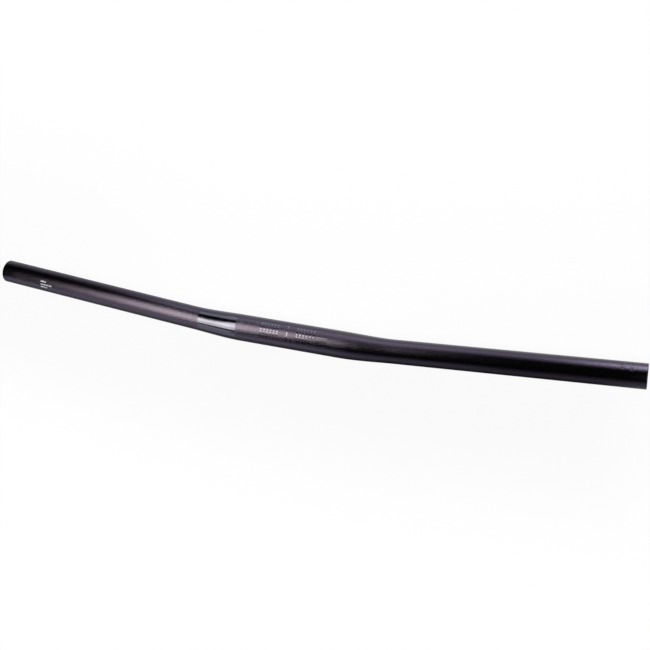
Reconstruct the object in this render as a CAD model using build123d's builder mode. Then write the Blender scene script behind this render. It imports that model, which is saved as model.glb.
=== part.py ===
"""Flat bicycle handlebar: one aluminium tube, swaged, butted, and bent once on each side.

Millimetres and degrees. The origin is on the tube's axis at the middle of the stem clamp, +X runs along the
bar, both ends sweep towards +Y, and +Z is up. The bar lies as it comes to rest: the bottom of the clamp and of
both cut ends touch one level surface.
"""
import os
from math import asin, cos, pi, radians, sin

from build123d import *

# Driving dimensions
bar_width = 640.0  # straight across, between the centres of the cut ends
clamp_diameter = 25.4
clamp_length = 96.0  # plain cylinder at the middle, which takes the stem
clamp_wall = 2.6
grip_diameter = 22.2
grip_wall = 2.1
sweep_angle = 4.0  # turn of the bend on each side
bend_radius = 800.0  # of the centre line
rim_round = 0.6  # outer edge of each cut end
bore_break = 0.4  # inner edge of each cut end

# Sections that shape each tapered bend
taper_sections = 9

# Radii of the skin and of the bore, at the clamp and along the grips
clamp_radius = clamp_diameter / 2
clamp_bore_radius = clamp_radius - clamp_wall
grip_radius = grip_diameter / 2
grip_bore_radius = grip_radius - grip_wall

# Centre line of one side: half of the clamp, the bend, and the straight grip
sweep = radians(sweep_angle)
clamp_half = clamp_length / 2
bend_reach = bend_radius * sin(sweep)
bend_offset = bend_radius * (1 - cos(sweep))
grip_length = (bar_width / 2 - clamp_half - bend_reach) / cos(sweep)

# At rest the plane of the bends leans, until the last full section of each grip is as low as the clamp
foot_offset = bend_offset + (grip_length - rim_round) * sin(sweep)
rest_lean = asin((clamp_radius - grip_radius) / foot_offset)
bend_plane = Plane(origin=(0, 0, 0), x_dir=(1, 0, 0), z_dir=(0, sin(rest_lean), cos(rest_lean)))


def section_plane(turn):
    """The plane square to the centre line where the bend has turned by this angle, in radians."""
    centre = (clamp_half + bend_radius * sin(turn), bend_radius * (1 - cos(turn)))
    along = bend_plane.x_dir * cos(turn) + bend_plane.y_dir * sin(turn)
    return Plane(origin=bend_plane.from_local_coords(centre), x_dir=bend_plane.z_dir, z_dir=along)


def side_bar(clamp_end_radius, grip_end_radius, mode):
    """A round bar along one side's bend and grip, which narrows smoothly as it bends."""
    sections = []
    for i in range(taper_sections):
        share = i / (taper_sections - 1)
        narrowing = (1 - cos(pi * share)) / 2
        with BuildSketch(section_plane(sweep * share)) as section:
            Circle(clamp_end_radius + (grip_end_radius - clamp_end_radius) * narrowing)
        sections.append(section.sketch)
    loft(sections, mode=mode)
    extrude(sections[-1], amount=grip_length, mode=mode)


with BuildPart() as handlebar:
    # One side, bored through
    side_bar(clamp_radius, grip_radius, Mode.ADD)
    side_bar(clamp_bore_radius, grip_bore_radius, Mode.SUBTRACT)

    # Its cut end, with a rounded rim and a deburred bore
    cut_end = handlebar.faces().sort_by(Axis.X)[-1]
    bore_edge, rim_edge = cut_end.edges().sort_by(SortBy.RADIUS)
    fillet(rim_edge, radius=rim_round)
    chamfer(bore_edge, length=bore_break)

    # The other side, and the clamp that joins the two
    mirror(about=Plane.YZ)
    with BuildSketch(section_plane(0)):
        Circle(clamp_radius)
        Circle(clamp_bore_radius, mode=Mode.SUBTRACT)
    extrude(amount=-clamp_length)

handlebar.part.label = "handlebar"

os.makedirs("parts", exist_ok=True)
export_step(handlebar.part, "parts/handlebar.step")
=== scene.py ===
"""Looks of the flat handlebar: a satin black anodised tube with gloss, white and etched prints.

Metres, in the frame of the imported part: the origin is on the tube's axis at the middle of the stem clamp, +X runs
along the bar, both ends sweep towards +Y, and +Z is up. Places on the bar are given by their run along the centre
line from the middle, and by their turn round it from the top towards the front.
"""
from math import asin, copysign, cos, pi, radians, sin

import bmesh
import bpy
from mathutils import Matrix, Vector


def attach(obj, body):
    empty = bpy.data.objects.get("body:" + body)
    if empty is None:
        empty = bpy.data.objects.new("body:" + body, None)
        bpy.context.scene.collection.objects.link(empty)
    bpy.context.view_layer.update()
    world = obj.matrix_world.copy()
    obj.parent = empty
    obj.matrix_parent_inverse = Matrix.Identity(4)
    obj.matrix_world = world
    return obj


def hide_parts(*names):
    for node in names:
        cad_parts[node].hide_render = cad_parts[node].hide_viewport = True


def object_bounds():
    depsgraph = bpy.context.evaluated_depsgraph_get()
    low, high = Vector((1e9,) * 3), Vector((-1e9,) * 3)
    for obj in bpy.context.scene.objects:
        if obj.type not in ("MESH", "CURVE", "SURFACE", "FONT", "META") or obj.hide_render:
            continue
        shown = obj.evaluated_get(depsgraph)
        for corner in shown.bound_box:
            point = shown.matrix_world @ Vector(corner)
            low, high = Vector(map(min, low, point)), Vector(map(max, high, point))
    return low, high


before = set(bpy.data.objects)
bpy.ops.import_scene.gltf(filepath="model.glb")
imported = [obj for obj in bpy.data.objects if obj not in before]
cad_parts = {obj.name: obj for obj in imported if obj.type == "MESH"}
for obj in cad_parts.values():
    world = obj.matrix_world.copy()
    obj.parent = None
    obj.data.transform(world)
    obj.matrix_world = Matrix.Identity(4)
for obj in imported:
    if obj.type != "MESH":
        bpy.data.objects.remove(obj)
cad_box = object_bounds()

MM = 0.001

# The tube, as in the part's source
bar_width = 640.0 * MM
clamp_radius = 12.7 * MM
clamp_bore_radius = 10.1 * MM
grip_radius = 11.1 * MM
grip_bore_radius = 9.0 * MM
clamp_half = 48.0 * MM
sweep = radians(4.0)
bend_radius = 800.0 * MM
rim_round = 0.6 * MM
bore_break = 0.4 * MM

bend_arc = bend_radius * sweep
bend_offset = bend_radius * (1 - cos(sweep))
grip_length = (bar_width / 2 - clamp_half - bend_radius * sin(sweep)) / cos(sweep)
foot_offset = bend_offset + (grip_length - rim_round) * sin(sweep)
rest_lean = asin((clamp_radius - grip_radius) / foot_offset)

# How finely the tube is divided
round_steps = 120
clamp_steps = 4
bend_steps = 16
grip_steps = 12

# Prints lie on the skin as films, sunk a little so that no gap shows
film_proud = 0.035 * MM
film_sunk = 0.02 * MM
print_cut = 0.5 * MM  # height of the strips in which numbers follow the skin

# Points closer than this are one
weld = 0.001 * MM
print_weld = 0.002 * MM

# Edges sharper than this stay sharp when a piece is smoothed
sharp_edge = radians(30)


def station(run):
    """The place and heading of the tube's section at this run: x along the bar, y back, z up from the bend plane."""
    turn = min(max(abs(run) - clamp_half, 0) / bend_radius, sweep)
    grip = max(abs(run) - clamp_half - bend_arc, 0)
    along = min(abs(run), clamp_half) + bend_radius * sin(turn) + grip * cos(sweep)
    back = bend_radius * (1 - cos(turn)) + grip * sin(sweep)
    lean = Matrix.Rotation(-rest_lean, 4, "X")
    return (lean @ Matrix.Translation((copysign(along, run), back, 0))
            @ Matrix.Rotation(copysign(turn, run), 4, "Z"))


def narrowed(clamp_end, grip_end, run):
    """A radius that narrows smoothly over the bend, from its value in the clamp to its value along the grip."""
    share = min(max((abs(run) - clamp_half) / bend_arc, 0), 1)
    return clamp_end + (grip_end - clamp_end) * (1 - cos(pi * share)) / 2


def skin_radius(run):
    """The tube's outer radius at this run."""
    return narrowed(clamp_radius, grip_radius, run)


def ring_place(run, radius):
    """What takes a unit circle round the centre line to this run and radius."""
    return station(run) @ Matrix.Scale(radius, 4)


def pull_rings(bm, places):
    """Pulls one circle through a row of places, and gives each ring's edges."""
    upright = Matrix.Rotation(pi / 2, 4, "Y")
    circle = bmesh.ops.create_circle(bm, segments=round_steps, radius=1, matrix=places[0] @ upright)["verts"]
    rings = [list(dict.fromkeys(edge for vert in circle for edge in vert.link_edges))]
    for before, after in zip(places, places[1:]):
        grown = bmesh.ops.extrude_edge_only(bm, edges=rings[-1])["geom"]
        verts = [part for part in grown if isinstance(part, bmesh.types.BMVert)]
        bmesh.ops.transform(bm, matrix=after @ before.inverted(), verts=verts)
        fresh = set(verts)
        rings.append([part for part in grown
                      if isinstance(part, bmesh.types.BMEdge) and fresh.issuperset(part.verts)])
    return rings


def make_piece(name, bm, material):
    """Turns a finished bmesh into a piece that rides on the bar."""
    mesh = bpy.data.meshes.new(name)
    bmesh.ops.recalc_face_normals(bm, faces=bm.faces)
    for face in bm.faces:
        face.smooth = True
    bm.to_mesh(mesh)
    bm.free()
    mesh.set_sharp_from_angle(angle=sharp_edge)
    mesh.materials.append(material)
    piece = bpy.data.objects.new(name, mesh)
    bpy.context.scene.collection.objects.link(piece)
    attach(piece, "root")
    return piece


# Shader maths


class Value:
    """A socket in an expression, whose operators add Math nodes."""

    def __init__(self, finish, socket):
        self.finish, self.socket = finish, socket

    def math(self, operation, first, second):
        return self.finish.node("ShaderNodeMath", {"operation": operation}, {0: first, 1: second})["Value"]

    def __add__(self, other):
        return self.math("ADD", self, other)

    def __radd__(self, other):
        return self.math("ADD", other, self)

    def __sub__(self, other):
        return self.math("SUBTRACT", self, other)

    def __rsub__(self, other):
        return self.math("SUBTRACT", other, self)

    def __mul__(self, other):
        return self.math("MULTIPLY", self, other)

    def __rmul__(self, other):
        return self.math("MULTIPLY", other, self)

    def larger(self, other):
        return self.math("MAXIMUM", self, other)


class Outputs:
    """The outputs of a new node, by name."""

    def __init__(self, finish, node):
        self.finish, self.node = finish, node

    def __getitem__(self, name):
        return Value(self.finish, self.node.outputs[name])


class Finish:
    """The node tree of a material or of the world."""

    def __init__(self, owner):
        owner.use_nodes = True
        self.owner, self.tree = owner, owner.node_tree
        self.tree.nodes.clear()

    def node(self, kind, settings=None, sockets=None):
        """Adds a node: first its settings, then the values or links of its sockets."""
        made = self.tree.nodes.new(kind)
        for name, setting in (settings or {}).items():
            if name == "stops":
                ramp = made.color_ramp
                while len(ramp.elements) < len(setting):
                    ramp.elements.new(0.5)
                for element, (position, colour) in zip(ramp.elements, setting):
                    element.position, element.color = position, colour
            else:
                setattr(made, name, setting)
        for name, given in (sockets or {}).items():
            if isinstance(given, Value):
                self.tree.links.new(given.socket, made.inputs[name])
            else:
                made.inputs[name].default_value = given
        return Outputs(self, made)

    def noise(self, scale, detail, roughness, stretch=(1, 1, 1)):
        """Noise on the piece's own coordinates, drawn out along an axis where stretch is below 1."""
        place = self.node("ShaderNodeVectorMath", {"operation": "MULTIPLY"},
                          {0: self.node("ShaderNodeTexCoord")["Object"], 1: stretch})["Vector"]
        return self.node("ShaderNodeTexNoise", {"noise_dimensions": "3D"},
                         {"Vector": place, "Scale": scale, "Detail": detail, "Roughness": roughness})["Fac"]

    def surface(self, shader):
        self.node("ShaderNodeOutputMaterial", {}, {"Surface": shader})
        return self.owner


def satin_anodised():
    """Black anodised aluminium, blasted to a fine satin: a dark metal with a faint violet cast."""
    finish = Finish(bpy.data.materials.new("satin_anodised"))
    blast = finish.noise(8000, 0, 0.5, stretch=(0.3, 1, 1))
    speckle = finish.noise(800, 1, 0.5)
    dye = finish.noise(22, 3, 0.5)
    colour = finish.node("ShaderNodeValToRGB", {"stops": [(0.3, (0.056, 0.048, 0.064, 1)),
                                                          (0.7, (0.064, 0.055, 0.072, 1))]},
                         {"Fac": 0.7 * dye + 0.3 * speckle})["Color"]
    roughness = 0.14 + 0.05 * blast + 0.02 * speckle
    bump = finish.node("ShaderNodeBump", {}, {"Strength": 1.0, "Distance": 0.0423 * MM, "Filter Width": 0.03,
                                              "Height": 0.9 * blast + 0.1 * speckle})["Normal"]
    return finish.surface(finish.node("ShaderNodeBsdfPrincipled", {}, {
        "Base Color": colour, "Metallic": 1.0, "Roughness": roughness, "Normal": bump})["BSDF"])


def gloss_anodised():
    """The same black anodising where it was masked from the blast and stays polished."""
    finish = Finish(bpy.data.materials.new("gloss_anodised"))
    flow = finish.noise(500, 2, 0.5)
    dye = finish.noise(60, 2, 0.5)
    colour = finish.node("ShaderNodeValToRGB", {"stops": [(0.3, (0.066, 0.065, 0.080, 1)),
                                                          (0.7, (0.078, 0.077, 0.094, 1))]}, {"Fac": dye})["Color"]
    bump = finish.node("ShaderNodeBump", {}, {"Strength": 0.3, "Distance": 0.01 * MM, "Height": flow})["Normal"]
    return finish.surface(finish.node("ShaderNodeBsdfPrincipled", {}, {
        "Base Color": colour, "Metallic": 1.0, "Roughness": 0.10 + 0.05 * flow, "Normal": bump})["BSDF"])


def clear_print():
    """Clear gloss ink over the anodising."""
    finish = Finish(bpy.data.materials.new("clear_print"))
    flow = finish.noise(900, 2, 0.5)
    colour = finish.node("ShaderNodeValToRGB", {"stops": [(0.3, (0.094, 0.091, 0.104, 1)),
                                                          (0.7, (0.106, 0.103, 0.116, 1))]}, {"Fac": flow})["Color"]
    return finish.surface(finish.node("ShaderNodeBsdfPrincipled", {}, {
        "Base Color": colour, "Metallic": 1.0, "Roughness": 0.07 + 0.04 * flow})["BSDF"])


def white_print():
    """Matt white ink."""
    finish = Finish(bpy.data.materials.new("white_print"))
    ink = finish.noise(1500, 2, 0.6)
    colour = finish.node("ShaderNodeValToRGB", {"stops": [(0.3, (0.82, 0.82, 0.83, 1)),
                                                          (0.7, (0.90, 0.90, 0.90, 1))]}, {"Fac": ink})["Color"]
    return finish.surface(finish.node("ShaderNodeBsdfPrincipled", {}, {
        "Base Color": colour, "Roughness": 0.45 + 0.1 * ink})["BSDF"])


def etched_mark():
    """Laser marking: the dye is burnt to a dull grey."""
    finish = Finish(bpy.data.materials.new("etched_mark"))
    burn = finish.noise(3000, 2, 0.6)
    colour = finish.node("ShaderNodeValToRGB", {"stops": [(0.3, (0.028, 0.027, 0.029, 1)),
                                                          (0.7, (0.050, 0.048, 0.050, 1))]}, {"Fac": burn})["Color"]
    return finish.surface(finish.node("ShaderNodeBsdfPrincipled", {}, {
        "Base Color": colour, "Roughness": 0.55 + 0.1 * burn})["BSDF"])


satin, gloss, clear = satin_anodised(), gloss_anodised(), clear_print()
white, etched = white_print(), etched_mark()

# The tube: one side out along the skin, over the cut end and back in along the bore, and then its mirror image
clamp_runs = [clamp_half * step / clamp_steps for step in range(clamp_steps + 1)]
bend_runs = [clamp_half + bend_arc * step / bend_steps for step in range(1, bend_steps + 1)]
grip_runs = [clamp_half + bend_arc + grip_length * step / grip_steps for step in range(1, grip_steps + 1)]
runs_out = clamp_runs + bend_runs + grip_runs
skin_places = [ring_place(run, skin_radius(run)) for run in runs_out]
bore_places = [ring_place(run, narrowed(clamp_bore_radius, grip_bore_radius, run)) for run in reversed(runs_out)]

tube = bmesh.new()
rings = pull_rings(tube, skin_places + bore_places)
rim, bore_edge = rings[len(runs_out) - 1], rings[len(runs_out)]
bmesh.ops.bevel(tube, geom=bore_edge, offset=bore_break, segments=1, profile=0.5, affect="EDGES", material=-1)
bmesh.ops.bevel(tube, geom=rim, offset=rim_round, segments=6, profile=0.5, affect="EDGES", material=-1)
bmesh.ops.mirror(tube, geom=tube.verts[:] + tube.edges[:] + tube.faces[:], axis="X", merge_dist=weld)
bmesh.ops.remove_doubles(tube, verts=tube.verts, dist=weld)
tube_piece = make_piece("handlebar_tube", tube, satin)
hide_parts("handlebar")


# Prints


def lay_round(bm, run, turn):
    """Gives a flat drawing its thickness and lays it on the skin: x runs along the bar, y back over the top."""
    grown = bmesh.ops.extrude_face_region(bm, geom=bm.faces[:], use_keep_orig=True)["geom"]
    verts = [part for part in grown if isinstance(part, bmesh.types.BMVert)]
    bmesh.ops.translate(bm, vec=(0, 0, film_proud + film_sunk), verts=verts)
    for vert in bm.verts:
        place = run + vert.co.x
        angle = turn - vert.co.y / skin_radius(run)
        reach = skin_radius(place) - film_sunk + vert.co.z
        vert.co = station(place) @ Vector((0, -reach * sin(angle), reach * cos(angle)))


def add_to(whole, part):
    """Moves one bmesh's shape into another."""
    mesh = bpy.data.meshes.new("part")
    part.to_mesh(mesh)
    part.free()
    whole.from_mesh(mesh)
    bpy.data.meshes.remove(mesh)


def bar_mark(length, height, corner=0.0, height_steps=1):
    """A flat rectangle, centred, with rounded corners if it has any."""
    bm = bmesh.new()
    bmesh.ops.create_grid(bm, x_segments=1, y_segments=height_steps, size=0.5,
                          matrix=Matrix.Diagonal((length, height, 1, 1)))
    if corner:
        bmesh.ops.bevel(bm, geom=bm.verts[:], offset=corner, segments=3, profile=0.5, affect="VERTICES", material=-1)
    return bm


def number_mark(text, height, wide=1.0, bold=0.0, quarter_turn=False):
    """Plain numbers as a flat drawing, centred, cut fine enough to follow the skin."""
    curve = bpy.data.curves.new("number", "FONT")
    curve.body, curve.size, curve.offset = text, 1.0, bold
    holder = bpy.data.objects.new("number", curve)
    bpy.context.scene.collection.objects.link(holder)
    bpy.context.view_layer.update()
    mesh = bpy.data.meshes.new_from_object(holder)
    bpy.data.objects.remove(holder)
    bpy.data.curves.remove(curve)
    bm = bmesh.new()
    bm.from_mesh(mesh)
    bpy.data.meshes.remove(mesh)
    bmesh.ops.remove_doubles(bm, verts=bm.verts, dist=1e-4)
    low = Vector((min(v.co.x for v in bm.verts), min(v.co.y for v in bm.verts), 0))
    high = Vector((max(v.co.x for v in bm.verts), max(v.co.y for v in bm.verts), 0))
    bmesh.ops.translate(bm, vec=-(low + high) / 2, verts=bm.verts)
    grow = height / (high.y - low.y)
    bmesh.ops.scale(bm, vec=(grow * wide, grow, grow), verts=bm.verts)
    if quarter_turn:
        bmesh.ops.rotate(bm, cent=(0, 0, 0), matrix=Matrix.Rotation(-pi / 2, 3, "Z"), verts=bm.verts)
    cuts = int(max(abs(v.co.y) for v in bm.verts) / print_cut)
    for step in range(-cuts, cuts + 1):
        bmesh.ops.bisect_plane(bm, geom=bm.verts[:] + bm.edges[:] + bm.faces[:],
                               plane_co=(0, step * print_cut, 0), plane_no=(0, 1, 0))
    bmesh.ops.remove_doubles(bm, verts=bm.verts, dist=print_weld)
    return bm


# Gloss band on the left bend, all the way round
band_start, band_length, band_steps = -93.0 * MM, 40.6 * MM, 16
band_runs = [band_start + band_length * step / band_steps for step in range(band_steps + 1)]
band_over = [ring_place(run, skin_radius(run) + film_proud) for run in band_runs]
band_under = [ring_place(run, skin_radius(run) - film_sunk) for run in reversed(band_runs)]
band = bmesh.new()
pull_rings(band, band_over + band_under + band_over[:1])
bmesh.ops.remove_doubles(band, verts=band.verts, dist=weld)
make_piece("gloss_band", band, gloss)

# Gloss dashes on both sides of the clamp's middle
dash_length, dash_height, dash_corner = 1.6 * MM, 1.15 * MM, 0.3 * MM
dash_columns, first_column, column_pitch = 6, 9.85 * MM, 3.27 * MM
dash_rows, first_row, row_pitch = 7, radians(-38.0), radians(9.3)
dashes = bmesh.new()
for side in (-1, 1):
    for column in range(dash_columns):
        for row in range(dash_rows):
            dash = bar_mark(dash_length, dash_height, corner=dash_corner)
            lay_round(dash, side * (first_column + column_pitch * column), first_row + row_pitch * row)
            add_to(dashes, dash)
make_piece("clamp_dashes", dashes, clear)

# Gloss line that marks the middle, and fine lines beside the right dashes
fine_lines, first_line, line_pitch = 5, 30.0 * MM, 2.15 * MM
lines = bmesh.new()
middle_line = bar_mark(1.0 * MM, radians(84) * clamp_radius, height_steps=24)
lay_round(middle_line, 0, radians(-15.5))
add_to(lines, middle_line)
for step in range(fine_lines):
    fine_line = bar_mark(0.8 * MM, radians(48) * clamp_radius, height_steps=14)
    lay_round(fine_line, first_line + line_pitch * step, radians(-5.5))
    add_to(lines, fine_line)
make_piece("clamp_lines", lines, clear)

# Numbers at the right end that say how wide the bar is when it is cut there
trim_height = 3.6 * MM
trim_numbers = bmesh.new()
for text, run, turn in (("600", 299.5, -39.8), ("620", 308.0, -35.4)):
    number = number_mark(text, trim_height, quarter_turn=True)
    lay_round(number, run * MM, radians(turn))
    add_to(trim_numbers, number)
make_piece("trim_numbers", trim_numbers, etched)

# Sizes in white at the left end, in lines that start at one run: width, clamp and grip, sweep and wall
print_start, print_height = -273.1 * MM, 1.45 * MM
size_numbers = bmesh.new()
for text, turn in (("640.0", 7.4), ("25.40 22.20", 23.2), ("4.0 2.6", 37.6)):
    number = number_mark(text, print_height, wide=1.45, bold=0.025)
    left = min(vert.co.x for vert in number.verts)
    lay_round(number, print_start - left, radians(turn))
    add_to(size_numbers, number)
make_piece("size_numbers", size_numbers, white)

# Floor, which is white to the camera and keeps the bar's shadow, with painted shade and a painted reflection glow
# close to the bar
floor_mesh = bmesh.new()
bmesh.ops.create_grid(floor_mesh, x_segments=1, y_segments=1, size=20,
                      matrix=Matrix.Translation((0, 0, cad_box[0][2])))
floor_data = bpy.data.meshes.new("floor")
floor_mesh.to_mesh(floor_data)
floor_mesh.free()
floor = bpy.data.objects.new("floor", floor_data)
bpy.context.scene.collection.objects.link(floor)

paper = Finish(bpy.data.materials.new("white_floor"))
ray = paper.node("ShaderNodeLightPath")
place = paper.node("ShaderNodeSeparateXYZ", {}, {"Vector": paper.node("ShaderNodeTexCoord")["Object"]})

# How far a place on the floor is behind the bar's bent centre line, and how far off it either way
from_middle = place["X"].larger(-1 * place["X"])
behind = place["Y"] - sin(sweep) * (from_middle - clamp_half - bend_arc / 2).larger(0.0)
off_bar = behind.larger(-1 * behind)


def rise(value, low, high):
    """A smooth step from 0 at the low value to 1 at the high one."""
    return paper.node("ShaderNodeMapRange", {"interpolation_type": "SMOOTHSTEP"},
                      {"Value": value, "From Min": low, "From Max": high})["Result"]


# The paper is pale, but its colour is painted dark close in front of the bar and at its left: painted shade that
# stands in for the bar's contact shadow and for a dark studio that the bar mirrors there
pale_back = rise(behind, 0.006, 0.02) * (0.5 + 0.5 * rise(place["X"], -0.3, -0.05))
pale_floor = pale_back.larger(rise(-1 * behind, 0.06, 0.22)).larger(rise(place["X"], 0.27, 0.345))
# Painted shade: the paper's colour near the bar, darker towards the right
painted_shade = paper.node("ShaderNodeMix", {"data_type": "RGBA"},
                   {"Factor": rise(place["X"], -0.15, 0.12), 6: (0.20, 0.20, 0.23, 1), 7: (0.05, 0.05, 0.06, 1)})
paper_colour_with_painted_shade = paper.node("ShaderNodeMix", {"data_type": "RGBA"},
                  {"Factor": pale_floor, 6: painted_shade[2], 7: (0.76, 0.77, 0.86, 1)})

# The camera sees it white, with a little of the shadow near the bar; to the bar's mirror rays the paper glows white
# behind the bar's right and stays nearly black elsewhere, a painted reflection
away = rise(off_bar, 0.05, 0.20)
# Painted reflection: how much the paper glows to mirror rays, by place
painted_reflection_glow = 0.02 + 0.93 * rise(behind, 0.006, 0.02) * rise(place["X"], -0.2, 0.1)
seen = ((0.95 + 0.05 * away) * ray["Is Camera Ray"]
        + painted_reflection_glow * (ray["Is Glossy Ray"] + ray["Is Transmission Ray"]))
lit = paper.node("ShaderNodeBsdfDiffuse", {}, {"Color": paper_colour_with_painted_shade[2]})["BSDF"]
glow = paper.node("ShaderNodeEmission", {}, {"Color": (1, 1, 1, 1), "Strength": 1.0})["Emission"]
floor_data.materials.append(paper.surface(
    paper.node("ShaderNodeMixShader", {}, {0: seen, 1: lit, 2: glow})["Shader"]))

# World: white behind the floor, and a dark studio where the bar mirrors it
world = bpy.data.worlds.new("studio")
bpy.context.scene.world = world
room = Finish(world)
ray = room.node("ShaderNodeLightPath")
level = ray["Is Camera Ray"] + ray["Is Transmission Ray"] + 0.005 * ray["Is Glossy Ray"]
sky = room.node("ShaderNodeBackground", {}, {"Color": (1, 1, 1, 1), "Strength": level})["Background"]
room.node("ShaderNodeOutputWorld", {}, {"Surface": sky})


def soft_box(name, place, towards, width, height, radiance, twist=0.0, colour=(1, 1, 1)):
    """A rectangular soft light; radiance 1 is as bright as white paper in plain light."""
    data = bpy.data.lights.new(name, "AREA")
    data.shape, data.size, data.size_y, data.color = "RECTANGLE", width, height, colour
    data.energy = radiance * pi * width * height
    light = bpy.data.objects.new(name, data)
    aim = (Vector(towards) - Vector(place)).to_track_quat("-Z", "Y").to_matrix().to_4x4()
    light.matrix_world = Matrix.Translation(place) @ aim @ Matrix.Rotation(twist, 4, "Z")
    bpy.context.scene.collection.objects.link(light)


key_colour = (1.0, 0.97, 0.90)
side_colour = (0.98, 0.97, 1.12)
plain_colour = (1, 1, 1)

# Boxes above the left of the bar face down: x, y, width, depth, radiance and twist
key_height = 0.9
for name, x, y, width, depth, radiance, twist, colour in (
        ("key_back", -0.439, 0.429, 0.279, 0.36, 8.0, -13, key_colour),
        ("key_core", -0.548, 0.077, 0.23, 0.36, 10.5, -11, key_colour),
        ("key_edge", -0.61, -0.28, 0.315, 0.383, 7.0, -20, key_colour),
        ("key_right", -0.365, 0.077, 0.136, 0.4, 6.8, -11, key_colour),
        ("key_front", -0.916, -0.66, 0.289, 0.368, 1.2, -26, key_colour),
        ("key_tail", -0.995, -1.045, 0.507, 0.724, 1.7, -30, plain_colour)):
    soft_box(name, (x, y, key_height), (x, y, 0), width, depth, radiance, radians(twist), colour)

# Boxes in front face back: x, width and radiance
front_y, front_z, front_height = -0.8, 0.25, 0.5
for name, x, width, radiance in (
        ("front_left", -0.713, 0.996, 1.2),
        ("front_middle", -0.085, 0.261, 0.55),
        ("front_right", 0.192, 0.293, 0.24),
        ("front_end", 0.433, 0.188, 0.5)):
    soft_box(name, (x, front_y, front_z), (x, 0, front_z), width, front_height, radiance, colour=side_colour)

# Boxes behind face front: x, y, z, width, height and radiance
for name, x, y, z, width, height, radiance in (
        ("back_left", -0.232, 0.6, 0.17, 0.412, 0.34, 1.6),
        ("back_upper", -0.218, 0.6, 0.478, 0.275, 0.278, 0.8),
        ("back_low", -0.07, 0.595, 0.084, 0.546, 0.168, 0.9),
        ("back_middle", 0.088, 0.6, 0.168, 0.231, 0.336, 0.85),
        ("back_right", 0.339, 0.6, 0.168, 0.271, 0.336, 2.3),
        ("back_kick", 0.338, 0.595, 0.084, 0.271, 0.168, 6.0)):
    soft_box(name, (x, y, z), (x, 0, z), width, height, radiance, colour=side_colour)

# A box at the right fills in the whole bar
soft_box("right_fill", (1.2, -0.1, 1.1), (0, 0, 0), 1.0, 1.0, 4.0)

# Camera, at the photograph's viewing angle
picture_width, focal_length = 650, 1000  # pixels
camera_data = bpy.data.cameras.new("camera")
camera_data.sensor_width = 36
camera_data.lens = camera_data.sensor_width * focal_length / picture_width
camera_data.clip_end = 100
camera = bpy.data.objects.new("camera", camera_data)
camera_right = Vector((0.935539, 0.131838, -0.327698))
camera_up = Vector((-0.155271, 0.986787, -0.046280))
camera_back = camera_right.cross(camera_up)
camera.matrix_world = (Matrix.Translation((0.326064, 0.102756, 0.874963))
                       @ Matrix((camera_right, camera_up, camera_back)).transposed().to_4x4())
bpy.context.scene.collection.objects.link(camera)
bpy.context.scene.camera = camera
bpy.context.scene.view_settings.view_transform = "Standard"
